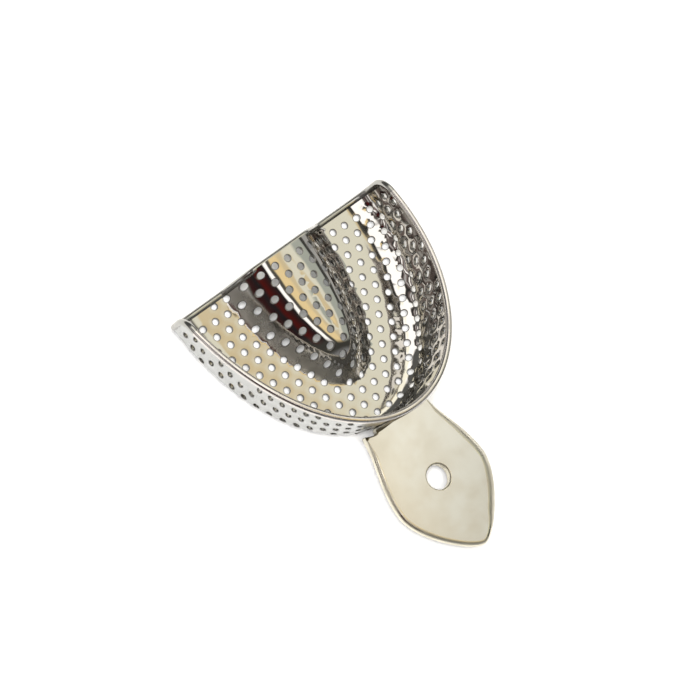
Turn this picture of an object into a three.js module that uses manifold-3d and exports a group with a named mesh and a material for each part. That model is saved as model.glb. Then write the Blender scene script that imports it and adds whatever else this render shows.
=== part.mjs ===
// Full-arch perforated impression tray, upper jaw, modelled trough side up.
// Millimetres, +Z out of the trough, -Y towards the handle tip, x = 0 is the symmetry plane.
import * as THREE from 'three';
import { mergeVertices } from 'three/addons/utils/BufferGeometryUtils.js';
import Module from 'manifold-3d';

const wasm = await Module();
wasm.setup();

// ---- driving dimensions ----
const SHEET = 0.8;                // pressed sheet thickness
const WIRE_R = 0.9;               // radius of the border and posterior wires
const GAP = 0.3;                  // clearance between neighbouring pieces
const RIM = { a: 35, b: 50.7 };   // half-width and depth of the rim, measured from the heel line
const WALL_FOOT = { a: 34.8, b: 50.5 };
const FILLET = { a: 8.2, b: 3, heel: 4, front: 3 };   // sweep from floor to wall: widths, then heights
const PALATE = { a: 17.3, b: 37.7, spine: 21, back: 10, front: 8 };
const RIM_HEIGHT = 19.2;          // wire centre above the underside, at the front
const HEEL_DROP = 7.4;            // the rim is this much lower at the heels
const DROP_POWER = 1.7;           // how late the rim falls away behind the front teeth
const CROWN_POWER = 3;            // flatness of the palate's crown
const FOOT_POWER = 1.5;           // sharpness of its foot

const HANDLE = {
  thickness: 2.5, bottom: 2.56, edge: 0.9,
  neck: 10.4, belly: 15.8, bellyAt: 20.05, length: 39.45,
  holeRadius: 3.7, holeAt: 18.05,
};
// pulls of the outline's curves: out and back at the neck, to both sides of the belly, and across the tip
const PULL = { neckOut: 2.2, neckBack: 6.4, bellyRear: 7.3, bellyFront: 7.5, tip: 4.1 };
const TAB = { thickness: 0.7, top: 16.4, cove: 0.8, half: 6.8, chamfer: 0.3 };
const ROOT_PROUD = 0.04;          // the root stands this far above the plate
const ROOT_OVERLAP = 0.6;         // and reaches this far into it

const HEEL_Y = 0;                 // heel line; the whole part is centred at the end
const STATIONS = 44;              // steps around the arch
const DOME_ROWS = 8;
const FILLET_ROWS = 4;
const WIRE_STEPS = 64;            // sections along a wire
const POSTERIOR_POINTS = 48;      // route points from the middle of the back edge to a heel
const COVE_STEPS = 5;
const TAB_STEPS = 12;
const MERGE = 1e-4;               // distance under which vertices are one
const HALF_PI = Math.PI / 2;

// ---- arch surface: a family of ellipses from the palate spine to the rim ----
const mix = (from, to, t) => from + (to - from) * t;
const rimHeight = (angle) => RIM_HEIGHT - HEEL_DROP * (1 - Math.cos(angle)) ** DROP_POWER;

function palateHeight(angle, t) {
  const height = mix(PALATE.back, PALATE.front, Math.cos(angle));
  return height * (1 - t ** CROWN_POWER) ** FOOT_POWER;
}

const filletHeight = (angle) => mix(FILLET.heel, FILLET.front, Math.cos(angle));

// semi-axes and height of the sheet's middle surface; s runs 0..4 over dome, floor, fillet, wall
function profile(s, angle) {
  const base = SHEET / 2;
  if (s <= 1) {
    return [PALATE.a * s, mix(PALATE.spine, PALATE.b, s), base + palateHeight(angle, s)];
  }
  const inner = [WALL_FOOT.a - FILLET.a, WALL_FOOT.b - FILLET.b];
  const rise = filletHeight(angle);
  if (s <= 2) {
    return [mix(PALATE.a, inner[0], s - 1), mix(PALATE.b, inner[1], s - 1), base];
  }
  if (s <= 3) {
    const bend = (s - 2) * HALF_PI;
    const out = Math.sin(bend);
    return [inner[0] + FILLET.a * out, inner[1] + FILLET.b * out, base + rise * (1 - Math.cos(bend))];
  }
  const top = rimHeight(angle) - WIRE_R - GAP;
  return [mix(WALL_FOOT.a, RIM.a, s - 3), mix(WALL_FOOT.b, RIM.b, s - 3), mix(base + rise, top, s - 3)];
}

function middle(s, angle) {
  const [a, b, z] = profile(s, angle);
  return new THREE.Vector3(a * Math.sin(angle), HEEL_Y - b * Math.cos(angle), z);
}

function sheetNormal(s, angle) {
  const h = 1e-3;
  const around = middle(s, Math.min(angle + h, HALF_PI)).sub(middle(s, Math.max(angle - h, -HALF_PI)));
  const outward = middle(Math.min(s + h, 4), angle).sub(middle(Math.max(s - h, 0), angle));
  const normal = outward.cross(around);
  if (s === 0) normal.x = 0;
  if (Math.abs(Math.abs(angle) - HALF_PI) < h) normal.y = 0;
  return normal.normalize();
}

const onSheet = (s, angle, offset) => middle(s, angle).addScaledVector(sheetNormal(s, angle), offset);

function meshFrom(points, triangles) {
  const geometry = new THREE.BufferGeometry();
  geometry.setAttribute('position', new THREE.Float32BufferAttribute(points.flatMap((p) => p.toArray()), 3));
  geometry.setIndex(triangles.flat());
  return mergeVertices(geometry, MERGE);
}

// ---- pressed shell ----
// steps across the sheet, in the same s as profile()
function shellRows() {
  const rows = [];
  for (let i = 0; i <= DOME_ROWS; i++) rows.push(i / DOME_ROWS);
  rows.push(1.5, 2);
  for (let i = 1; i <= FILLET_ROWS; i++) rows.push(2 + i / FILLET_ROWS);
  rows.push(3.5, 4);
  return rows;
}

function shellGeometry() {
  const rows = shellRows();
  const columns = STATIONS + 1;
  const points = [];
  const triangles = [];
  for (const offset of [SHEET / 2, -SHEET / 2]) {
    for (const s of rows) {
      for (let i = 0; i < columns; i++) points.push(onSheet(s, -HALF_PI + (Math.PI * i) / STATIONS, offset));
    }
  }
  const at = (layer, row, column) => (layer * rows.length + row) * columns + column;
  const quad = (a, b, c, d) => triangles.push([a, b, c], [a, c, d]);
  const last = rows.length - 1;
  for (let r = 0; r < last; r++) {
    for (let c = 0; c < STATIONS; c++) {
      quad(at(0, r, c), at(0, r + 1, c), at(0, r + 1, c + 1), at(0, r, c + 1));
      quad(at(1, r, c), at(1, r, c + 1), at(1, r + 1, c + 1), at(1, r + 1, c));
    }
    quad(at(1, r, 0), at(1, r + 1, 0), at(0, r + 1, 0), at(0, r, 0));
    quad(at(0, r, STATIONS), at(0, r + 1, STATIONS), at(1, r + 1, STATIONS), at(1, r, STATIONS));
  }
  for (let c = 0; c < STATIONS; c++) {
    quad(at(0, last, c), at(1, last, c), at(1, last, c + 1), at(0, last, c + 1));
  }
  return meshFrom(points, triangles);
}

// ---- wires ----
function wireGeometry(points) {
  const section = new THREE.Shape().absarc(0, 0, WIRE_R, 0, 2 * Math.PI, false);
  const path = new THREE.CatmullRomCurve3(points, false, 'centripetal');
  return new THREE.ExtrudeGeometry(section, { steps: WIRE_STEPS, curveSegments: 6, extrudePath: path });
}

function borderWirePath() {
  const points = [];
  for (let i = 0; i <= STATIONS; i++) {
    const angle = -HALF_PI + (Math.PI * i) / STATIONS;
    const y = HEEL_Y - RIM.b * Math.cos(angle);
    points.push(new THREE.Vector3(RIM.a * Math.sin(angle), y, rimHeight(angle)));
  }
  return points;
}

function posteriorWirePath() {
  const y = HEEL_Y + GAP + WIRE_R;
  const right = [];
  for (let i = 0; i <= POSTERIOR_POINTS; i++) {
    right.push(middle((4 * i) / POSTERIOR_POINTS, HALF_PI).setY(y));
  }
  right.push(new THREE.Vector3(RIM.a, y, rimHeight(HALF_PI) + WIRE_R));
  const left = right.slice(1).reverse().map((p) => new THREE.Vector3(-p.x, p.y, p.z));
  return [...left, ...right];
}

// ---- handle ----
function solid(geometry) {
  geometry.deleteAttribute('normal');
  geometry.deleteAttribute('uv');
  const merged = mergeVertices(geometry, MERGE);
  return new wasm.Manifold(new wasm.Mesh({
    numProp: 3,
    vertProperties: new Float32Array(merged.attributes.position.array),
    triVerts: new Uint32Array(merged.index.array),
  }));
}

function fromSolid(manifold) {
  const mesh = manifold.getMesh();
  const geometry = new THREE.BufferGeometry();
  geometry.setAttribute('position', new THREE.BufferAttribute(new Float32Array(mesh.vertProperties), 3));
  geometry.setIndex(new THREE.BufferAttribute(new Uint32Array(mesh.triVerts), 1));
  return geometry;
}

// outer face of the front wall plus clearance, at width x and height z
function wallFace(x, z, clearance) {
  const t = THREE.MathUtils.clamp((z - FILLET.front) / (RIM_HEIGHT - FILLET.front), 0, 1);
  const a = mix(WALL_FOOT.a, RIM.a, t);
  const b = mix(WALL_FOOT.b, RIM.b, t);
  return HEEL_Y - b * Math.sqrt(1 - (x / a) ** 2) - SHEET / 2 - clearance;
}

const NECK_Y = wallFace(0, TAB.top, GAP + TAB.thickness);

function plateGeometry() {
  const h = HANDLE;
  const e = h.edge;
  const neck = h.neck - e;
  const belly = h.belly - e;
  const rear = NECK_Y - e;
  const widest = NECK_Y - h.bellyAt;
  const tip = NECK_Y - h.length + e;
  const shape = new THREE.Shape();
  shape.moveTo(-neck, rear);
  const swell = neck + PULL.neckOut;
  shape.bezierCurveTo(-swell, rear - PULL.neckBack, -belly, widest + PULL.bellyRear, -belly, widest);
  shape.bezierCurveTo(-belly, widest - PULL.bellyFront, -PULL.tip, tip, 0, tip);
  shape.bezierCurveTo(PULL.tip, tip, belly, widest - PULL.bellyFront, belly, widest);
  shape.bezierCurveTo(belly, widest + PULL.bellyRear, swell, rear - PULL.neckBack, neck, rear);
  shape.holes.push(new THREE.Path().absarc(0, NECK_Y - h.holeAt, h.holeRadius + e, 0, 2 * Math.PI, true));
  const geometry = new THREE.ExtrudeGeometry(shape, {
    depth: h.thickness - 2 * e, curveSegments: 14, bevelEnabled: true,
    bevelThickness: e, bevelSize: e, bevelSegments: 4,
  });
  return geometry.translate(0, 0, h.bottom + e);
}

// closed outline of the root in the (y, z) plane at width x: plate end, cove and tab
function rootSection(x) {
  const top = HANDLE.bottom + HANDLE.thickness + ROOT_PROUD;
  const front = (z) => wallFace(x, z, GAP + TAB.thickness);
  const start = NECK_Y - TAB.cove;
  const outline = [[start - ROOT_OVERLAP, HANDLE.bottom], [start - ROOT_OVERLAP, top]];
  const reach = front(top + TAB.cove) - start;
  for (let i = 0; i <= COVE_STEPS; i++) {
    const turn = (HALF_PI * i) / COVE_STEPS;
    outline.push([start + reach * Math.sin(turn), top + TAB.cove * (1 - Math.cos(turn))]);
  }
  const shoulder = TAB.top - TAB.chamfer;
  outline.push([front(shoulder), shoulder], [front(TAB.top) + TAB.chamfer, TAB.top]);
  outline.push([wallFace(x, TAB.top, GAP), TAB.top], [wallFace(x, HANDLE.bottom, GAP), HANDLE.bottom]);
  return outline;
}

function rootGeometry() {
  const width = TAB.half;
  const points = [];
  const triangles = [];
  const count = rootSection(0).length;
  for (let i = 0; i <= TAB_STEPS; i++) {
    const x = mix(-width, width, i / TAB_STEPS);
    for (const [y, z] of rootSection(x)) points.push(new THREE.Vector3(x, y, z));
  }
  for (let i = 0; i < TAB_STEPS; i++) {
    for (let j = 0; j < count; j++) {
      const a = i * count + j;
      const b = i * count + ((j + 1) % count);
      triangles.push([a, b + count, b], [a, a + count, b + count]);
    }
  }
  const last = TAB_STEPS * count;
  const outline = rootSection(width).map(([y, z]) => new THREE.Vector2(y, z));
  for (const [a, b, c] of THREE.ShapeUtils.triangulateShape(outline, [])) {
    triangles.push([a, c, b], [a + last, b + last, c + last]);
  }
  return meshFrom(points, triangles);
}

const handleGeometry = () => fromSolid(solid(plateGeometry()).add(solid(rootGeometry())));

// ---- assembly ----
const steel = (name, color, roughness) =>
  new THREE.MeshStandardMaterial({ name, color, metalness: 1, roughness });
const POLISHED = steel('polished_steel', 0xc9c6bf, 0.14);
const WIRE_STEEL = steel('wire_steel', 0xcfcac2, 0.18);
const HANDLE_STEEL = steel('handle_steel', 0xd6d2c8, 0.22);

const group = new THREE.Group();
group.name = 'impression_tray';

function place(name, geometry, material) {
  const mesh = new THREE.Mesh(geometry, material);
  mesh.name = name;
  group.add(mesh);
}

place('perforated_shell', shellGeometry(), POLISHED);
place('border_wire', wireGeometry(borderWirePath()), WIRE_STEEL);
place('posterior_wire', wireGeometry(posteriorWirePath()), WIRE_STEEL);
place('handle', handleGeometry(), HANDLE_STEEL);

const box = new THREE.Box3().setFromObject(group);
const centreY = (box.min.y + box.max.y) / 2;
for (const mesh of group.children) mesh.geometry.translate(0, -centreY, -box.min.z);

export default group;
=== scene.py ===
import math

import bpy
import numpy as np
from mathutils import Matrix, Vector
from mathutils.geometry import delaunay_2d_cdt


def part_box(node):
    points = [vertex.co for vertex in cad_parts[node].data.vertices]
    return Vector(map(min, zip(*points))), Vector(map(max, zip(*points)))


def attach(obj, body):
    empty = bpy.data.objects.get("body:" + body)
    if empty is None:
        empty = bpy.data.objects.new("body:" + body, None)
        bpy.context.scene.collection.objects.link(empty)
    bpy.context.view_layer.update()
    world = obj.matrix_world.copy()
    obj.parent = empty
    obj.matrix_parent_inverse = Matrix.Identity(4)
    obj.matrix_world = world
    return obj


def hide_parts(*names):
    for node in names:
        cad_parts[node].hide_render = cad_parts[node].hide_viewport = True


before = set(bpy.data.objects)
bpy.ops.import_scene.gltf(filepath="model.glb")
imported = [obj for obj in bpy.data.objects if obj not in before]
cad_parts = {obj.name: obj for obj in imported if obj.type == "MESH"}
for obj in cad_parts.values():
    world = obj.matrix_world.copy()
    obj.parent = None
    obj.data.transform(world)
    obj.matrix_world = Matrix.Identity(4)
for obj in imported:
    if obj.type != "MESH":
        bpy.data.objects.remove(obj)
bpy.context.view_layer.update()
MM = 0.001

# ---- driving dimensions, millimetres ----
SHEET = 0.8                     # pressed sheet thickness
WIRE_R = 0.9                    # bead radius
GAP = 0.3                       # clearance the CAD pieces keep
RIM = (35.0, 50.7)              # half-width and depth of the rim from the heel line
WALL_FOOT = (34.8, 50.5)
FILLET = (8.2, 3.0)             # how far the floor sweeps into the wall: at the sides, at the front
FILLET_RISE = (4.0, 3.0)        # height of that sweep: at the heels, at the front
PALATE = (17.3, 37.7)
SPINE = 21.0
PALATE_BACK = 10.0
PALATE_FRONT = 8.0
CROWN_POWER = 3.0
FOOT_POWER = 1.5
RIM_HEIGHT = 19.2
HEEL_DROP = 7.4
DROP_POWER = 1.7
HEEL_ROUND = 4.4                # corner radius where the rim turns down the heel edge

HOLE_R = 0.88
HOLE_EDGE = 0.2                 # rounding of the punched edges
PITCH = 4.08
LATTICE_TURN = math.radians(-3.2)   # the hole rows lie slightly askew on the blank
LATTICE_AT = (1.2, -45.1)           # one hole centre of the flat blank
HOLE_SIDES = 20
HOLE_CLEARANCE = 0.15               # least land between a hole's rounding and the sheet's edge

BLADE = 2.5                     # handle thickness
BLADE_BOTTOM = 2.56
NECK_AT = 51.7                  # neck line, measured from the heel line
NECK = 10.4
BELLY = 15.8
BELLY_AT = 20.4
BLADE_LENGTH = 39.8
GRIP_R = 3.4
GRIP_EDGE = 0.4
GRIP_AT = 18.4
TAB = 0.6
TAB_TOP = 16.4
TAB_HALF = 6.8
TAB_ROUND = 2.6                 # corner radius at the tab's top
SHOULDER = 1.4                  # how far the neck's corners reach back towards the wall
COVE = 0.6
PLATE_EDGE = 1.25               # width of the rounding along the plate's edges
BROAD_EDGE = 2.5                # the same along the right side
NECK_EDGE = 0.35
# pulls of the plate outline's curves: across the tip, to both sides of the belly, and at the neck
TIP_PULL = 4.1
BELLY_FRONT = 7.5
BELLY_REAR = 7.4
NECK_OUT = 1.6
NECK_BACK = 6.0
ROOT_PLATE = 0.8                # thickness left where the underside turns up into the tab
TOUCH = 0.02                    # the tab stands this far from the wall
TAB_ZONE = 0.3                  # the tab's painted shade covers the blank from here up

shell_low, shell_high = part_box("perforated_shell")
HEEL_Y = shell_high.y / MM
BASE_Z = shell_low.z / MM


# ---- small helpers ----
TINY = 1e-9                     # keeps divisions away from zero


def mix(a, b, t):
    return a + (b - a) * t


def ramp(value, start, width):
    """Rises from 0 at start to 1 one width later."""
    return np.clip((value - start) / width, 0, 1)


def unit(v):
    return v / np.maximum(np.linalg.norm(v, axis=-1, keepdims=True), 1e-12)


def across_to(v, n):
    """The direction of v with its part along n taken out."""
    return unit(v - (v * n).sum(-1, keepdims=True) * n)


def nearest(points, others):
    """Distance from each point to the nearest of the others, a few thousand points at a time."""
    parts = np.array_split(points, len(points) // 4000 + 1)
    return np.concatenate([np.linalg.norm(q[:, None] - others[None], axis=2).min(1) for q in parts])


def placed(points):
    """From the drawing's millimetres, with its origin on the heel line, to the frame's metres."""
    return (points + [0.0, HEEL_Y, BASE_Z]) * MM


def make_object(name, verts, faces, normals):
    mesh = bpy.data.meshes.new(name)
    mesh.from_pydata([tuple(v) for v in verts], [], [tuple(f) for f in faces])
    mesh.polygons.foreach_set("use_smooth", [True] * len(mesh.polygons))
    mesh.normals_split_custom_set_from_vertices([tuple(n) for n in normals])
    mesh.update()
    obj = bpy.data.objects.new(name, mesh)
    bpy.context.scene.collection.objects.link(obj)
    return obj


# ---- arch surface ----
def rim_height(c):
    return RIM_HEIGHT - HEEL_DROP * (1 - np.clip(c, 0, 1)) ** DROP_POWER


def dome(c, t):
    height = mix(PALATE_BACK, PALATE_FRONT, np.clip(c, 0, 1))
    return height * (1 - np.clip(t, 0, 1) ** CROWN_POWER) ** FOOT_POWER


BACK = GAP + WIRE_R             # the sheet runs on into the posterior wire
FLOOR_EDGE = (WALL_FOOT[0] - FILLET[0], WALL_FOOT[1] - FILLET[1] + BACK)
ARC = (9.9, 4.7)                # flat length of the sweep, at the sides and at the front
LATE_TURN = 0.13                # share of the sweep's turn that comes late
S_LIMIT = 4.4                   # the search for s ends a little past the rim
HALVINGS = 40
WALL_BLANK = tuple(rim_height(c) - SHEET / 2 - rise for c, rise in zip((0.0, 1.0), FILLET_RISE))


def blank_axes(s):
    """Semi-axes of the ellipse s on the flat blank; s runs 0..4 over dome, floor, sweep and wall."""
    floor = np.clip(s - 1, 0, 1)
    bend = np.clip(s - 2, 0, 1)
    wall = np.clip(s - 3, 0, None)
    a = np.where(s <= 1, PALATE[0] * s, mix(PALATE[0], FLOOR_EDGE[0], floor))
    dome_b = mix(SPINE, PALATE[1], s)
    floor_b = mix(PALATE[1], FLOOR_EDGE[1] - BACK, floor)
    b = BACK + np.where(s <= 1, dome_b, floor_b)
    return a + ARC[0] * bend + WALL_BLANK[0] * wall, b + ARC[1] * bend + WALL_BLANK[1] * wall


def solid_axes(s, c):
    """The same ellipse on the formed sheet, and its height; c is 1 at the front and 0 at the heels."""
    a, b = blank_axes(np.minimum(s, 2))
    rise = mix(FILLET_RISE[0], FILLET_RISE[1], c)
    bend = np.clip(s - 2, 0, 1)
    wall = np.clip(s - 3, 0, None)
    turn = ((1 - LATE_TURN) * bend + LATE_TURN * bend**2) * math.pi / 2
    a = a + FILLET[0] * np.sin(turn) + (RIM[0] - WALL_FOOT[0]) * wall
    b = b + FILLET[1] * np.sin(turn) + (RIM[1] - WALL_FOOT[1]) * wall
    z = SHEET / 2 + np.where(s <= 1, dome(c, s), 0)
    z = z + rise * (1 - np.cos(turn)) + (rim_height(c) - SHEET / 2 - rise) * wall
    return a, b, z


def blank_to_family(p):
    """Finds the ellipse through each point of the blank by halving, and where on it the point lies."""
    x, y = np.abs(p[:, 0]), np.maximum(-p[:, 1], 0)
    low, high = np.zeros(len(p)), np.full(len(p), S_LIMIT)
    for _ in range(HALVINGS):
        s = (low + high) / 2
        a, b = blank_axes(s)
        outside = (x / np.maximum(a, TINY)) ** 2 + (y / b) ** 2 > 1
        low, high = np.where(outside, s, low), np.where(outside, high, s)
    s = (low + high) / 2
    a, b = blank_axes(s)
    return s, p[:, 0] / np.maximum(a, TINY), -p[:, 1] / b


def on_wall(s):
    """How strongly the wall's ripples show: 0 on floor and palate, 1 on the wall."""
    return ramp(s, 2.2, 0.5) * ramp(-s, -4.2, 0.4)


def on_slope(s):
    """How strongly the palate's streaks show: 0 on its crown, 1 on its slopes, 0 on the floor."""
    return ramp(s, 0.55, 0.25) * ramp(-s, -1, 0.08)


# ripples of the wall: height, wavelength (mm) and direction
RIPPLES = [(0.030, 8.1, 0.3), (0.020, 5.6, 1.7), (0.014, 4.3, 2.6), (0.008, 3.4, 0.9), (0.006, 2.8, 2.1)]
SWAY = 0.8                      # how far a ripple's crests sway, and over how many wavelengths
SWAY_LENGTH = 2.3
PHASE_STEP = 1.7
# streaks down the palate's slopes: height, wavelength across them and how far they wander (mm)
STREAKS = [(0.0045, 2.3, 9.0), (0.0028, 1.3, 6.0), (0.0014, 0.8, 4.5)]


def ripple(p):
    total = np.zeros(len(p))
    for k, (height, length, turn) in enumerate(RIPPLES):
        along = p[:, 0] * math.cos(turn) + p[:, 1] * math.sin(turn)
        cross = p[:, 1] * math.cos(turn) - p[:, 0] * math.sin(turn)
        bend = SWAY * np.sin(cross * 2 * math.pi / (length * SWAY_LENGTH) + k)
        total += height * np.sin(along * 2 * math.pi / length + bend + PHASE_STEP * k)
    return total


def streaks(p, s):
    total = np.zeros(len(p))
    for k, (height, length, wander) in enumerate(STREAKS):
        slow = 1.4 * np.sin(p[:, 1] / wander + 2.1 * k)
        quick = 0.5 * np.sin(p[:, 1] * 2.7 / wander + p[:, 0] + k)
        total += height * np.sin(s * PALATE[0] * 2 * math.pi / length + (slow + quick) + k)
    return total


def smooth_middle(p):
    """The sheet's middle surface over the blank, without its ripples and streaks."""
    s, sx, c = blank_to_family(p)
    a, b, z = solid_axes(s, c)
    return np.stack([a * sx, BACK - b * c, z], 1), s


def arch_middle(p):
    h = 0.05
    middle, s = smooth_middle(p)
    dx = smooth_middle(p + [h, 0])[0] - middle
    dy = smooth_middle(p + [0, h])[0] - middle
    uneven = np.clip(0.6 + p[:, 0] / 12, 0.25, 1)       # fainter marks on the left slope
    marks = ripple(p) * on_wall(s) + streaks(p, s) * on_slope(s) * uneven
    return middle + unit(np.cross(dx, dy)) * marks[:, None]


def arch_normal(p):
    h = 0.02
    dx = arch_middle(p + [h, 0]) - arch_middle(p - [h, 0])
    dy = arch_middle(p + [0, h]) - arch_middle(p - [0, h])
    return unit(np.cross(dx, dy))


# ---- flat blanks with rounded edges, then formed ----
FAR_IN = 9.0                    # depth given to points that lie away from every edge
WELD = 1e-4                     # where less than this share of the thickness is left, the faces meet
TOP, EDGE, BOTTOM, ZONE = range(4)      # material slots of a formed sheet


class Blank:
    """A flat sheet with holes: its points, the edges to keep, and how far in from an edge each point is."""

    def __init__(self):
        self.points, self.edges, self.loops = [], [], []
        self.out, self.depth, self.radius, self.dish = [], [], [], []
        self.satin = lambda p: np.zeros(len(p))

    def ring(self, points, outward, radius, fractions, dish=0.0):
        """Adds a closed edge and the rings inside its rounding, at fractions of the rounding's width."""
        radius = np.full(len(points), 1.0) * radius
        for i, fraction in enumerate(fractions):
            start, n = len(self.points), len(points)
            self.points += list(points - outward * (radius * fraction)[:, None])
            self.out += list(outward)
            self.depth += list(radius * fraction)
            self.radius += list(radius)
            self.dish += [dish] * n
            self.edges += [(start + k, start + (k + 1) % n) for k in range(n)]
            if i == 0:
                self.loops.append(list(range(start, start + n)))

    def fill(self, points):
        self.points += list(points)
        self.out += [np.zeros(2)] * len(points)
        self.depth += [FAR_IN] * len(points)
        self.radius += [0.0] * len(points)
        self.dish += [0.0] * len(points)

    def triangulate(self):
        verts = [Vector((float(p[0]), float(p[1]))) for p in self.points]
        _, _, faces, origin, _, _ = delaunay_2d_cdt(verts, self.edges, [], 0, 1e-5, True)
        index = [o[0] if o else -1 for o in origin]
        faces = np.array([[index[k] for k in f] for f in faces if len(f) == 3])
        return faces[(faces >= 0).all(1)]


def inside(polygon, pts):
    result = np.zeros(len(pts), bool)
    a, b = polygon, np.roll(polygon, -1, 0)
    for (x0, y0), (x1, y1) in zip(a, b):
        if y0 == y1:
            continue
        hit = ((y0 > pts[:, 1]) != (y1 > pts[:, 1]))
        hit &= pts[:, 0] < (x1 - x0) * (pts[:, 1] - y0) / (y1 - y0) + x0
        result ^= hit
    return result


def facing_up(p, faces):
    v1, v2 = p[faces[:, 1]] - p[faces[:, 0]], p[faces[:, 2]] - p[faces[:, 0]]
    flip = v1[:, 0] * v2[:, 1] - v1[:, 1] * v2[:, 0] < 0
    faces[flip] = faces[flip][:, ::-1]
    return faces


def mid_step(top, bottom, p, out, h):
    """The middle of the sheet a short step outwards."""
    t, _ = top(p + out * h)
    b, _ = bottom(p + out * h)
    return (t + b) / 2


def rounded_faces(blank, p, top, bottom):
    """Points and normals of both faces, drawn together at the edges, and each point's partner below."""
    depth, out, radius = np.array(blank.depth), np.array(blank.out), np.array(blank.radius)
    lean = np.where(radius > 0, np.clip(1 - depth / np.maximum(radius, TINY), 0, 1), 0)
    (t, nt), (b, nb) = top(p), bottom(p)
    mid, half = (t + b) / 2, (t - b) / 2
    thick = np.linalg.norm(half, axis=1)
    drop = np.minimum(radius, thick) * (1 - np.sqrt(1 - lean**2))
    left = np.clip(1 - drop / np.maximum(thick, TINY), 0, 1)
    side = mid_step(top, bottom, p, out, 0.03) - mid
    level, tilt = np.sqrt(1 - lean**2)[:, None], lean[:, None]
    dish = np.array(blank.dish)[:, None]
    upper = unit(nt * level + across_to(side, nt) * (tilt + dish))
    lower = unit(nb * level + across_to(side, nb) * (tilt - dish))
    verts = np.concatenate([mid + half * left[:, None], mid - half * left[:, None]])
    own = np.arange(len(p))
    partner = np.where(left < WELD, own, own + len(p))
    return verts, np.concatenate([upper, lower]), partner


def cut_faces(blank, p, partner):
    """The strip of cut metal round each loop, wherever the two faces don't already meet."""
    strips = []
    for loop in blank.loops:
        ahead = loop[1:] + loop[:1]
        area = sum(p[a][0] * p[c][1] - p[c][0] * p[a][1] for a, c in zip(loop, ahead))
        outer = blank.out[loop[0]] @ (p[loop[0]] - p[loop].mean(0)) > 0
        for a, c in zip(loop, ahead):
            strip = [a, partner[a], partner[c], c]
            strip = [k for i, k in enumerate(strip) if k not in strip[:i]]
            if len(strip) > 2:
                strips.append(tuple(strip if (area > 0) == outer else strip[::-1]))
    return strips


def form(name, blank, keep, top, bottom, zone=None):
    """Cuts the blank into triangles and forms it: top and bottom give (position, normal)."""
    faces = blank.triangulate()
    p = np.array(blank.points)
    faces = facing_up(p, faces[keep(p[faces].mean(1))])
    verts, normals, partner = rounded_faces(blank, p, top, bottom)
    depth, radius = np.array(blank.depth), np.array(blank.radius)
    flat = (depth[faces] >= radius[faces] - 1e-6).all(1)
    zoned = zone(p[faces].mean(1)) if zone else np.zeros(len(faces), bool)
    strips = cut_faces(blank, p, partner)
    out_faces = [tuple(f) for f in faces] + [tuple(partner[f[::-1]]) for f in faces] + strips
    slots = list(np.where(zoned, ZONE, np.where(flat, TOP, EDGE)))
    slots += list(np.where(zoned, ZONE, np.where(flat, BOTTOM, EDGE)))
    slots += [EDGE] * len(strips)
    used = np.unique(np.concatenate([np.array(f) for f in out_faces]))
    remap = np.full(len(verts), -1)
    remap[used] = np.arange(len(used))
    out_faces = [tuple(int(remap[k]) for k in f) for f in out_faces]
    obj = make_object(name, placed(verts[used]), out_faces, normals[used])
    obj.data.polygons.foreach_set("material_index", np.array(slots, dtype=np.int32))
    satin = obj.data.attributes.new("satin", "FLOAT", "POINT")
    satin.data.foreach_set("value", np.tile(blank.satin(p), 2)[used].astype(np.float32))
    return obj


# ---- pressed perforated shell ----
RIM_STEPS = 420
HEEL_STEPS = 12
BACK_POINTS = 148


def circle(centre, radius, sides):
    a = np.arange(sides) * 2 * math.pi / sides
    d = np.stack([np.cos(a), np.sin(a)], 1)
    return centre + d * radius, -d


def mitred(outline):
    """Outward directions at the corners of a closed outline, long enough to keep offset edges parallel."""
    edge = unit(np.roll(outline, -1, 0) - outline)
    after = np.stack([edge[:, 1], -edge[:, 0]], 1)
    before = np.roll(after, 1, 0)
    middle = unit(after + before)
    return middle / (middle * after).sum(1, keepdims=True)


def rim_outline():
    """The edge of the flat blank, with the heels' corners rounded."""
    a = -math.pi / 2 + math.pi * np.arange(RIM_STEPS + 1) / RIM_STEPS
    ax, bx = blank_axes(np.array(4.0))
    front = np.stack([ax * np.sin(a), -bx * np.cos(a)], 1)
    front = front[np.abs(front[:, 1]) > HEEL_ROUND]
    turn = np.linspace(0, math.pi / 2, HEEL_STEPS + 1)[1:]
    width = front[-1, 0]
    x = width - HEEL_ROUND * (1 - np.cos(turn))
    corner = np.stack([x, -HEEL_ROUND * (1 - np.sin(turn))], 1)
    reach = width - HEEL_ROUND
    along = np.linspace(reach, -reach, BACK_POINTS + 2)[1:-1]
    back = np.stack([along, np.zeros(BACK_POINTS)], 1)
    return np.concatenate([front, corner, back, corner[::-1] * [-1, 1]])


# points between the holes, as parts of the pitch and of the row spacing
WEB_POINTS = [(0.5, 0), (0.25, 0.5), (-0.25, 0.5), (0, 2 / 3), (0.5, 1 / 3)]


WEB_ROOM = 0.35                 # these points keep this far from the sheet's edge
ROWS = range(-4, 16)
COLUMNS = range(-16, 17)


def lattice(outline, clearance):
    """Hole centres of the blank, and the points of the webs between them."""
    row = PITCH * math.sqrt(3) / 2
    step = np.array([math.cos(LATTICE_TURN), math.sin(LATTICE_TURN)])
    down = np.array([step[1], -step[0]])
    holes, webs = [], []
    for j in ROWS:
        for i in COLUMNS:
            centre = np.array(LATTICE_AT) + step * (i + 0.5 * (j % 2)) * PITCH - down * j * row
            holes.append(centre)
            for u, v in WEB_POINTS:
                webs.append(centre + step * u * PITCH + down * v * row)

    def clear(points, room):
        return points[inside(outline, points) & (nearest(points, outline) > room)]
    return clear(np.array(holes), clearance), clear(np.array(webs), WEB_ROOM)


def palate_satin(p):
    """Where the sheet is satin: the foot of the palate, on its left side."""
    s = blank_to_family(p)[0]
    foot = ramp(s, 0.70, 0.08) * ramp(-s, -1.0, 0.02)
    return foot * ramp(-p[:, 0], -2, 5)


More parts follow.
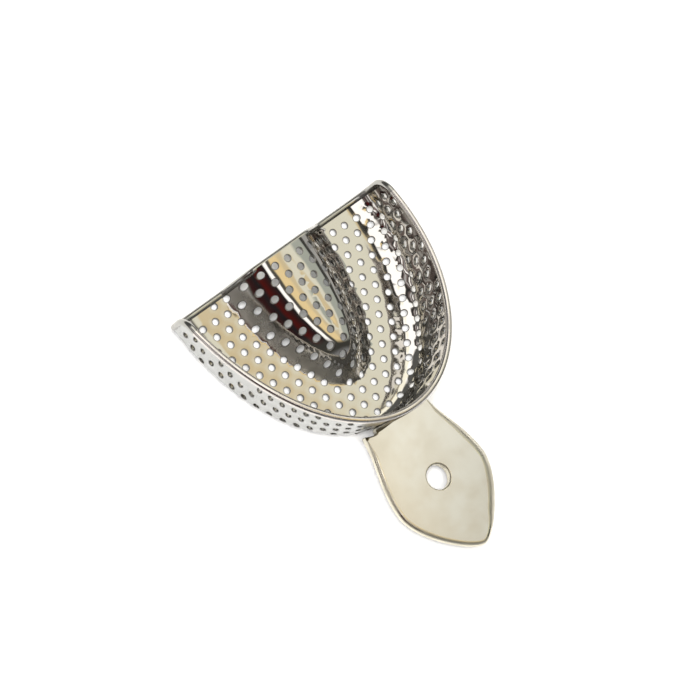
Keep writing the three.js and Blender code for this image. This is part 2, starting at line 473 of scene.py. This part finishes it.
PUNCH_RINGS = [0.0, 0.25, 0.6, 1.0]
DISH_FLAT = 0.01                # how much the face leans in round a hole
DISH_WALL = 0.17                # added to that on the wall


def make_shell():
    outline = rim_outline()
    holes, webs = lattice(outline, HOLE_R + HOLE_EDGE + HOLE_CLEARANCE)
    blank = Blank()
    blank.ring(outline, mitred(outline), 0.0, [0.0])
    dishes = DISH_FLAT + DISH_WALL * on_wall(blank_to_family(holes)[0])
    for centre, dish in zip(holes, dishes):
        points, out = circle(centre, HOLE_R, HOLE_SIDES)
        blank.ring(points, out, HOLE_EDGE, PUNCH_RINGS, dish)
    blank.fill(webs)
    blank.satin = palate_satin

    def keep(centres):
        return inside(outline, centres) & (nearest(centres, holes) > HOLE_R * 0.97)

    def face(sign):
        def surface(p):
            m, n = arch_middle(p), arch_normal(p)
            return m + n * sign * SHEET / 2, n * sign
        return surface
    return form("shell_sheet", blank, keep, face(1), face(-1))


# ---- wires ----
WIRE_SIDES = 24
CAP_RINGS = 4                   # rings of a wire's rounded end
CAP_TURN = math.pi / 8.5


def path_frames(path):
    """Tangents along a path, and two directions across it that turn as little as possible."""
    tangent = unit(np.gradient(path, axis=0))
    side = np.zeros_like(path)
    ref = np.array([0.0, 0.0, 1.0])
    if abs(tangent[0] @ ref) > 0.9:
        ref = np.array([0.0, 1.0, 0.0])
    side[0] = unit(np.cross(tangent[0], ref))
    for i in range(1, len(path)):
        side[i] = unit(side[i - 1] - (side[i - 1] @ tangent[i]) * tangent[i])
    return tangent, side, np.cross(tangent, side)


def sweep(name, path, radius):
    """A round wire along a path, with domed ends."""
    tangent, side, other = path_frames(path)
    a = np.arange(WIRE_SIDES) * 2 * math.pi / WIRE_SIDES
    rings, normals = [], []

    def add(k, lean):
        d = np.cos(a)[:, None] * side[k] + np.sin(a)[:, None] * other[k]
        rings.append(path[k] + tangent[k] * radius * math.sin(lean) + d * (radius * math.cos(lean)))
        normals.append(unit(d * math.cos(lean) + tangent[k] * math.sin(lean)))
    for j in range(CAP_RINGS, 0, -1):
        add(0, -j * CAP_TURN)
    for k in range(len(path)):
        add(k, 0.0)
    for j in range(1, CAP_RINGS + 1):
        add(-1, j * CAP_TURN)
    faces = []
    for r in range(len(rings) - 1):
        low, high = r * WIRE_SIDES, (r + 1) * WIRE_SIDES
        for i in range(WIRE_SIDES):
            j = (i + 1) % WIRE_SIDES
            faces.append((low + i, low + j, high + j, high + i))
    faces.append(tuple(range(WIRE_SIDES))[::-1])
    last = (len(rings) - 1) * WIRE_SIDES
    faces.append(tuple(range(last, last + WIRE_SIDES)))
    return make_object(name, placed(np.concatenate(rings)), faces, np.concatenate(normals))


BORDER_POINTS = 361
EDGE_POINTS = 260               # route points from the middle of the back edge to a heel
CORNER_POINTS = 17
BACK_SPACING = 0.3


def border_path():
    reach = math.acos(HEEL_ROUND / (RIM[1] + BACK))
    a = reach * np.linspace(-1, 1, BORDER_POINTS)
    c = np.cos(a)
    return np.stack([RIM[0] * np.sin(a), BACK - (RIM[1] + BACK) * c, rim_height(c)], 1)


def smooth_path(points, spacing):
    """Evenly spaced points along a route, with its corners eased."""
    d = np.concatenate([[0], np.cumsum(np.linalg.norm(np.diff(points, axis=0), axis=1))])
    t = np.linspace(0, d[-1], int(d[-1] / spacing))
    path = np.stack([np.interp(t, d, points[:, k]) for k in range(3)], 1)
    for _ in range(8):
        path[1:-1] = (path[:-2] + 2 * path[1:-1] + path[2:]) / 4
    return path


def posterior_path():
    """Along the back edge, up the heel and round its corner to meet the rim bead."""
    end = border_path()[-1]
    s = np.linspace(0, 4, EDGE_POINTS)
    a, _, z = solid_axes(s, np.zeros(EDGE_POINTS))
    edge = np.stack([a, np.full(EDGE_POINTS, BACK), z], 1)
    edge = edge[z < end[2] - HEEL_ROUND]
    turn = np.linspace(0, math.pi / 2, CORNER_POINTS)
    y = BACK - HEEL_ROUND * (1 - np.cos(turn))
    z = end[2] - HEEL_ROUND * (1 - np.sin(turn))
    corner = np.stack([np.full(CORNER_POINTS, end[0]), y, z], 1)
    right = np.concatenate([edge, corner])
    left = right[:0:-1] * [-1, 1, 1]
    return smooth_path(np.concatenate([left, right]), BACK_SPACING)


# ---- handle ----
TIP_STEPS = 90
NECK_STEPS = 60
SHOULDER_STEPS = 24
TAB_STEPS = 60
CORNER_STEPS = 8
CAP_STEPS = 9
GRIP_SIDES = 72


def bezier(p0, p1, p2, p3, n):
    t = np.linspace(0, 1, n + 1)[:, None]
    p0, p1, p2, p3 = map(np.array, (p0, p1, p2, p3))
    return (1 - t)**3 * p0 + 3 * (1 - t)**2 * t * p1 + 3 * (1 - t) * t**2 * p2 + t**3 * p3


BEND = 2.4                      # blank length of the cove
TAB_RISE = TAB_TOP - BLADE_BOTTOM - BLADE - COVE


def wall_y(x, z, out):
    """The outer face of the front wall at width x and height z, and a distance out from it."""
    t = np.clip((z - FILLET[1]) / (RIM_HEIGHT - FILLET[1]), 0, 1)
    a, b = mix(WALL_FOOT[0], RIM[0], t), mix(WALL_FOOT[1], RIM[1], t)
    return -b * np.sqrt(1 - (x / a) ** 2) - SHEET / 2 - out


def upper_face(x, up, turn):
    foot = BLADE_BOTTOM + BLADE
    face = wall_y(x, foot + COVE, TAB)
    y = -NECK_AT + np.maximum(face + NECK_AT, COVE) * np.sin(turn)
    z = foot + COVE * (1 - np.cos(turn)) + up
    return np.where(up > 0, wall_y(x, z, TAB), y), z, foot


def lower_face(x, up, turn):
    under = BLADE_BOTTOM + BLADE - ROOT_PLATE
    back = wall_y(x, under, TOUCH)
    y = -NECK_AT + (back + NECK_AT) * np.sin(turn)
    z = BLADE_BOTTOM + (under - BLADE_BOTTOM) * (1 - np.cos(turn))
    z = np.where(up > 0, under + up * (TAB_TOP - under) / TAB_RISE, z)
    return np.where(up > 0, wall_y(x, z, TOUCH), y), z, BLADE_BOTTOM


def handle_profile(p, upper):
    """Forms the flat handle blank: plate, cove and tab. y of the blank is 0 at the neck line."""
    x, v = p[:, 0], p[:, 1]
    bent = (v > 0) & (np.abs(x) <= TAB_HALF + 1e-6)
    turn = np.clip(v / BEND, 0, 1) * math.pi / 2
    up = np.clip(v - BEND, 0, None)
    y, z, plate_z = (upper_face if upper else lower_face)(x, up, turn)
    y = np.where(bent, y, -NECK_AT + v)
    z = np.where(bent, z, plate_z)
    return np.stack([x, y, z], 1)


def handle_face(upper):
    sign = 1 if upper else -1

    def surface(p):
        h = 0.02
        dx = handle_profile(p + [h, 0], upper) - handle_profile(p - [h, 0], upper)
        dy = handle_profile(p + [0, h], upper) - handle_profile(p - [0, h], upper)
        return handle_profile(p, upper), unit(np.cross(dx, dy)) * sign
    return surface


def handle_outline():
    """Right half from the tip to the middle of the tab's top, then its mirror image."""
    top = BEND + TAB_RISE
    belly = -BELLY_AT
    tip = -BLADE_LENGTH
    widest = (BELLY, belly)
    right = bezier((0, tip), (TIP_PULL, tip), (BELLY, belly - BELLY_FRONT), widest, TIP_STEPS)
    pull = (NECK + NECK_OUT, -NECK_BACK)
    neck = bezier(widest, (BELLY, belly + BELLY_REAR), pull, (NECK, SHOULDER), NECK_STEPS)[1:]
    inward = (NECK - 1.0, 0.8)
    foot = (TAB_HALF, 0.5)
    shoulder = bezier((NECK, SHOULDER), inward, (TAB_HALF + 0.5, -0.1), foot, SHOULDER_STEPS)[1:]
    up = np.linspace(foot[1], top - TAB_ROUND, TAB_STEPS + 1)[1:]
    rise = np.stack([np.full(TAB_STEPS, TAB_HALF), up], 1)
    a = np.linspace(0, math.pi / 2, CORNER_STEPS + 1)[1:]
    x = TAB_HALF - TAB_ROUND * (1 - np.cos(a))
    corner = np.stack([x, top - TAB_ROUND * (1 - np.sin(a))], 1)
    across = np.linspace(TAB_HALF - TAB_ROUND, 0, CAP_STEPS + 1)[1:]
    cap = np.stack([across, np.full(CAP_STEPS, top)], 1)
    half = np.concatenate([right, neck, shoulder, rise, corner, cap])
    return np.concatenate([half, half[-2:0:-1] * [-1, 1]])


def rounding(steps):
    """Fractions of a rounding's width that give equal turns of a quarter circle."""
    return [1 - math.cos(math.pi / 2 * i / steps) for i in range(steps + 1)]


def edge_width(outline):
    """The plate's rounding is broadest along the right side and small at the neck and tab."""
    x, v = outline[:, 0], outline[:, 1]
    right = ramp(x, 0, 7) * ramp(-v, 0, 14) * np.clip((v + BLADE_LENGTH) / 5, 0.5, 1)
    return mix(mix(PLATE_EDGE, BROAD_EDGE, right), NECK_EDGE, ramp(v, -4, 4))


def plate_filling(outline, grip):
    """Points inside the blank, close together where it bends and far apart on the flat plate."""
    xs = np.arange(-TAB_HALF + 1.6, TAB_HALF - 1.5, 0.8)
    before = np.arange(-1.0, 0, 0.25)
    through = np.linspace(0, BEND, 17)
    above = np.arange(BEND + 0.5, BEND + TAB_RISE - 1.6, 0.7)
    grid = np.array([(x, v) for x in xs for v in np.concatenate([before, through, above])])
    plate_xs = np.arange(-13.5, 13.6, 2.0)
    plate = np.array([(x, v) for x in plate_xs for v in np.arange(-34.0, -2.0, 2.0)])
    clear = inside(outline, plate)
    clear &= nearest(plate, outline) > BROAD_EDGE + 0.4
    clear &= np.linalg.norm(plate - grip, axis=1) > GRIP_R + 1.5
    return np.concatenate([grid, plate[clear]])


def make_handle():
    outline = handle_outline()
    grip = np.array([0.0, -GRIP_AT])
    blank = Blank()
    blank.ring(outline, mitred(outline), edge_width(outline), rounding(6))
    points, out = circle(grip, GRIP_R, GRIP_SIDES)
    blank.ring(points, out, GRIP_EDGE, rounding(5))
    blank.fill(plate_filling(outline, grip))

    def keep(c):
        return inside(outline, c) & (np.linalg.norm(c - grip, axis=1) > GRIP_R * 0.99)

    # painted shade: the tab gets a dark olive steel, standing in for the shade and dark reflection between
    # the wall and the plate
    def in_painted_tab_shade(c):
        return c[:, 1] > TAB_ZONE
    return form("handle_plate", blank, keep, handle_face(True), handle_face(False), in_painted_tab_shade)


# ---- materials ----
SATIN = 0.22                    # roughness added where the sheet is satin
TARNISH = 0.93                  # brightness left where the metal is smudged
SMUDGE_SCALE = 160
RIPPLE_SCALE = 260
SCRATCH_SCALE = (900, 9000, 900)        # long one way and fine the other
SCRATCH_TURN = 0.5


def noise(mat, vector, scale, detail):
    node = mat.node_tree.nodes.new("ShaderNodeTexNoise")
    node.inputs["Scale"].default_value = scale
    node.inputs["Detail"].default_value = detail
    mat.node_tree.links.new(vector, node.inputs["Vector"])
    return node.outputs["Fac"]


def bump(mat, height, distance):
    node = mat.node_tree.nodes.new("ShaderNodeBump")
    node.inputs["Strength"].default_value = 1.0
    node.inputs["Distance"].default_value = distance
    mat.node_tree.links.new(height, node.inputs["Height"])
    return node


def uneven_roughness(mat, smudge, roughness):
    """Roughness that follows the smudges, and more of it where the mesh says satin."""
    nodes, links = mat.node_tree.nodes, mat.node_tree.links
    spread = nodes.new("ShaderNodeMapRange")
    spread.inputs["From Min"].default_value = 0.35
    spread.inputs["From Max"].default_value = 0.7
    spread.inputs["To Min"].default_value = roughness * 0.6
    spread.inputs["To Max"].default_value = roughness * 1.7
    links.new(smudge, spread.inputs["Value"])
    satin = nodes.new("ShaderNodeAttribute")
    satin.attribute_name = "satin"
    dull = nodes.new("ShaderNodeMath")
    dull.operation = "MULTIPLY_ADD"
    dull.inputs[1].default_value = SATIN
    links.new(satin.outputs["Fac"], dull.inputs[0])
    links.new(spread.outputs["Result"], dull.inputs[2])
    return dull.outputs["Value"]


def steel(name, color, roughness, scratch, wave):
    """Polished steel with smudges, fine scratches and a slight waviness; scratch and wave in metres."""
    mat = bpy.data.materials.new(name)
    mat.use_nodes = True
    nodes, links = mat.node_tree.nodes, mat.node_tree.links
    shader = nodes["Principled BSDF"]
    shader.inputs["Metallic"].default_value = 1.0
    place = nodes.new("ShaderNodeTexCoord").outputs["Object"]
    mapping = nodes.new("ShaderNodeMapping")
    mapping.inputs["Scale"].default_value = SCRATCH_SCALE
    mapping.inputs["Rotation"].default_value = (0, 0, SCRATCH_TURN)
    links.new(place, mapping.inputs["Vector"])
    scratches = noise(mat, mapping.outputs["Vector"], 1.0, 3)
    smudge = noise(mat, place, SMUDGE_SCALE, 4)
    waves = noise(mat, place, RIPPLE_SCALE, 1)
    links.new(uneven_roughness(mat, smudge, roughness), shader.inputs["Roughness"])
    tint = nodes.new("ShaderNodeMix")
    tint.data_type = "RGBA"
    tint.inputs["A"].default_value = (*color, 1)
    tint.inputs["B"].default_value = (*[c * TARNISH for c in color], 1)
    links.new(smudge, tint.inputs["Factor"])
    links.new(tint.outputs["Result"], shader.inputs["Base Color"])
    wavy = bump(mat, waves, wave)
    scratched = bump(mat, scratches, scratch)
    links.new(wavy.outputs["Normal"], scratched.inputs["Normal"])
    links.new(scratched.outputs["Normal"], shader.inputs["Normal"])
    return mat


def paint_shade_across(mat, direction, bright, dull, least):
    """Paints shade into the steel's colour: darkens it evenly from full at bright to least at dull, in
    metres along a direction.
    """
    nodes, links = mat.node_tree.nodes, mat.node_tree.links
    color = nodes["Principled BSDF"].inputs["Base Color"]
    full = color.links[0].from_socket
    coord = nodes.new("ShaderNodeTexCoord")
    along = nodes.new("ShaderNodeVectorMath")
    along.operation = "DOT_PRODUCT"
    along.inputs[1].default_value = direction
    links.new(coord.outputs["Object"], along.inputs[0])
    fall = nodes.new("ShaderNodeMapRange")
    fall.inputs["From Min"].default_value = bright
    fall.inputs["From Max"].default_value = dull
    links.new(along.outputs["Value"], fall.inputs["Value"])
    painted_shade = nodes.new("ShaderNodeMix")
    painted_shade.data_type = "RGBA"
    painted_shade.blend_type = "MULTIPLY"
    painted_shade.inputs["B"].default_value = (least, least, least, 1)
    links.new(full, painted_shade.inputs["A"])
    links.new(fall.outputs["Result"], painted_shade.inputs["Factor"])
    links.new(painted_shade.outputs["Result"], color)


# ---- build: name, colour, roughness, scratch depth, wave height ----
sheet_steel = steel("sheet_steel", (0.61, 0.59, 0.55), 0.05, 0.0000006, 0.000004)
# painted shade: the sheet's outer faces get a darker copy of the sheet steel, standing in for the shaded
# floor they reflect
shaded_outer_steel = steel("shaded_outer_steel", (0.47, 0.475, 0.46), 0.20, 0.000001, 0.000006)
wire_steel = steel("wire_steel", (0.65, 0.62, 0.59), 0.24, 0.0000006, 0.00001)
# painted shade: the posterior bead gets a darker copy of the wire steel, standing in for the dark
# reflection along the back edge
shaded_back_wire_steel = steel("shaded_back_wire_steel", (0.40, 0.395, 0.37), 0.20, 0.0000006, 0.00001)
plate_steel = steel("plate_steel", (0.745, 0.735, 0.735), 0.10, 0.0000006, 0.000001)
# painted shade: the handle plate darkens towards its tip and right side, as the light falling off across it
# would
paint_shade_across(plate_steel, (0.5, -0.87, 0), 0.010, 0.038, 0.76)
# painted reflection: the plate's rounded edges get a yellower copy of the plate steel, standing in for the
# olive reflection along them
plate_edge_olive_reflection = steel("plate_edge_olive_reflection", (0.72, 0.68, 0.56), 0.32, 0.000001, 0.000002)
# painted shade: dark olive steel for the tab, standing in for the shade between the wall and the plate
painted_tab_shade = steel("painted_tab_shade", (0.24, 0.21, 0.14), 0.38, 0.000004, 0.00003)
# painted shade: the holes' rounded edges and bores, and the sheet's cut edges, get a dark copy of the
# steel, standing in for the shade in the holes
shaded_edge_steel = steel("shaded_edge_steel", (0.30, 0.295, 0.28), 0.26, 0.000001, 0.000002)


def fit(obj, materials, node):
    for material in materials:
        obj.data.materials.append(material)
    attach(obj, "root")
    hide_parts(node)


# materials in the order of the slots: top, edge, bottom, zone
fit(make_shell(), [sheet_steel, shaded_edge_steel, shaded_outer_steel], "perforated_shell")
fit(sweep("rim_bead", border_path(), WIRE_R), [wire_steel], "border_wire")
fit(sweep("back_bead", posterior_path(), WIRE_R), [shaded_back_wire_steel], "posterior_wire")
fit(make_handle(), [plate_steel, plate_edge_olive_reflection, plate_steel, painted_tab_shade], "handle")

# ---- floor, light, camera ----
HALF_FLOOR = 2.0                # metres
corners = [(-HALF_FLOOR, -HALF_FLOOR, 0), (HALF_FLOOR, -HALF_FLOOR, 0)]
corners += [(HALF_FLOOR, HALF_FLOOR, 0), (-HALF_FLOOR, HALF_FLOOR, 0)]
floor_mesh = bpy.data.meshes.new("floor")
floor_mesh.from_pydata(corners, [], [(0, 1, 2, 3)])
floor = bpy.data.objects.new("floor", floor_mesh)
bpy.context.scene.collection.objects.link(floor)
white = bpy.data.materials.new("floor_white")
white.use_nodes = True
paint = white.node_tree.nodes["Principled BSDF"].inputs
paint["Base Color"].default_value = (0.95, 0.95, 0.95, 1)
paint["Roughness"].default_value = 0.9
floor_mesh.materials.append(white)

# what the steel reflects: studio panels, by angle (degrees) from straight up towards +X
WHITE = (1.9, 1.86, 1.84)
CREAM = (1.16, 1.13, 0.95)
BRIGHT_CREAM = (1.65, 1.60, 1.38)
TAN = (1.02, 0.85, 0.54)
GOLD = (1.30, 1.02, 0.56)
GREEN_GREY = (0.60, 0.64, 0.58)
GREY = (0.13, 0.125, 0.11)
RED_BROWN = (0.058, 0.015, 0.015)
RED = (0.115, 0.013, 0.011)
BROWN = (0.310, 0.250, 0.240)
BLACK = (0.022, 0.022, 0.024)
FRONT_DARK = (0.070, 0.068, 0.060)
FRONT_GREY = (0.34, 0.345, 0.36)
BACK_DARK = (0.150, 0.150, 0.145)
PALE = (0.80, 0.80, 0.81)
SIDE_GREY = (0.55, 0.55, 0.54)
FRONT_PANELS = [
    (-90, PALE), (-84, SIDE_GREY), (-67, SIDE_GREY), (-65, GREY), (-62, RED_BROWN), (-50, BLACK),
    (-42, RED), (-32, RED_BROWN), (-20, BLACK), (-16.5, WHITE), (-10.5, WHITE), (-8, GREY), (-2, GREY),
    (2, GOLD), (15, GOLD), (20, TAN), (24.5, TAN), (26.5, CREAM), (31, CREAM), (35, GREEN_GREY),
    (54, GREEN_GREY), (58, BLACK), (63, GREY), (65, BLACK), (67, SIDE_GREY), (84, SIDE_GREY), (90, GREY),
]
BACK_PANELS = [
    (-90, GREY), (-80, PALE), (-76, BLACK), (-69, WHITE), (-64, BROWN), (-54, GREY), (-49, PALE),
    (-45, BROWN), (-38, BLACK), (-33, BROWN), (-25, GREY), (-22, WHITE), (13, WHITE), (15, BLACK),
    (21, GREY), (23.5, TAN), (24.5, TAN), (26.5, CREAM), (33, CREAM), (38, GREY), (46, WHITE),
    (52, BLACK), (60, WHITE), (68, GREY), (90, GREY),
]
FAR_PANELS = [
    (-90, GREY), (-74, BLACK), (-70, PALE), (-66, BROWN), (-57, BROWN), (-52, WHITE), (-48, WHITE),
    (-44, BLACK), (-37, BROWN), (-32, PALE), (-29, BROWN), (-20, BLACK), (-16, GREY),
    (-13, WHITE), (4, WHITE), (8, BRIGHT_CREAM), (40, BRIGHT_CREAM), (47, GREY), (56, WHITE), (62, BLACK),
    (90, GREY),
]

# where one row of panels gives way to the next, by how far a direction points towards +Y
BACK_FROM = (0.0, 0.03)
FAR_FROM = (0.10, 0.20)
DARK_FROM = (-0.36, -0.52)
GREY_FROM = (-0.62, -0.80)
BACK_DARK_FROM = (0.55, 0.70)

world = bpy.data.worlds.new("studio")
bpy.context.scene.world = world
world.use_nodes = True
wn, wl = world.node_tree.nodes, world.node_tree.links
direction = wn.new("ShaderNodeTexCoord")
split = wn.new("ShaderNodeSeparateXYZ")
wl.new(direction.outputs["Generated"], split.inputs["Vector"])


def math_node(operation, *sources):
    node = wn.new("ShaderNodeMath")
    node.operation = operation
    for socket, source in zip(node.inputs, sources):
        if isinstance(source, (int, float)):
            socket.default_value = source
        else:
            wl.new(source, socket)
    return node.outputs["Value"]


def smooth_step(value, low, high):
    node = wn.new("ShaderNodeMapRange")
    node.interpolation_type = "SMOOTHSTEP"
    node.inputs["From Min"].default_value = low
    node.inputs["From Max"].default_value = high
    wl.new(value, node.inputs["Value"])
    return node.outputs["Result"]


def panels(position, stops):
    """One row of panels: the colours run into each other between the stops."""
    node = wn.new("ShaderNodeValToRGB")
    wl.new(position, node.inputs["Fac"])
    ramp = node.color_ramp
    ramp.elements.remove(ramp.elements[1])
    for i, (degrees, colour) in enumerate(stops):
        place = (degrees + 90) / 180
        element = ramp.elements[0] if i == 0 else ramp.elements.new(place)
        element.position = place
        element.color = (*colour, 1)
    return node.outputs["Color"]


def blend(factor, a, b):
    node = wn.new("ShaderNodeMix")
    node.data_type = "RGBA"
    wl.new(factor, node.inputs["Factor"])
    for name, source in (("A", a), ("B", b)):
        if isinstance(source, tuple):
            node.inputs[name].default_value = (*source, 1)
        else:
            wl.new(source, node.inputs[name])
    return node.outputs["Result"]


sideways = math_node("ARCTAN2", split.outputs["X"], split.outputs["Z"])
position = math_node("MULTIPLY_ADD", sideways, 1 / math.pi, 0.5)
forward = split.outputs["Y"]
sky = panels(position, FRONT_PANELS)
sky = blend(smooth_step(forward, *BACK_FROM), sky, panels(position, BACK_PANELS))
sky = blend(smooth_step(forward, *FAR_FROM), sky, panels(position, FAR_PANELS))
sky = blend(smooth_step(forward, *DARK_FROM), sky, FRONT_DARK)
sky = blend(smooth_step(forward, *GREY_FROM), sky, FRONT_GREY)
sky = blend(smooth_step(forward, *BACK_DARK_FROM), sky, BACK_DARK)
wl.new(sky, wn["Background"].inputs["Color"])


def area_light(name, location, size, power):
    """Lights the floor and its shadow; the steel shows the studio panels instead."""
    light = bpy.data.lights.new(name, "AREA")
    light.shape = "DISK"
    light.size = size
    light.energy = power
    obj = bpy.data.objects.new(name, light)
    obj.location = location
    obj.rotation_euler = Vector(location).to_track_quat("Z", "Y").to_euler()
    obj.visible_glossy = False
    bpy.context.scene.collection.objects.link(obj)


area_light("overhead", (-0.42, 0.16, 0.85), 0.34, 5.0)
area_light("fill", (-0.3, -0.1, 0.9), 0.9, 6.5)

RIGHT = Vector((0.7124, -0.5929, 0.3755))
UP = Vector((0.5346, 0.8051, 0.2570))
TOWARD = Vector((-0.4547, 0.0176, 0.8905))
CAMERA_AT = Vector((-258.6, -19.9, 513.5))     # from the heel line, at tray underside level
SENSOR = 36.0
LENS = 113.1

camera_data = bpy.data.cameras.new("camera")
camera_data.sensor_width = SENSOR
camera_data.lens = LENS
camera_data.clip_start, camera_data.clip_end = 0.01, 10
camera = bpy.data.objects.new("camera", camera_data)
bpy.context.scene.collection.objects.link(camera)
bpy.context.scene.camera = camera
basis = Matrix((RIGHT, UP, TOWARD)).transposed().to_4x4()
basis.translation = (CAMERA_AT + Vector((0, HEEL_Y, BASE_Z))) * MM
camera.matrix_world = basis

bpy.context.scene.view_settings.view_transform = "Standard"
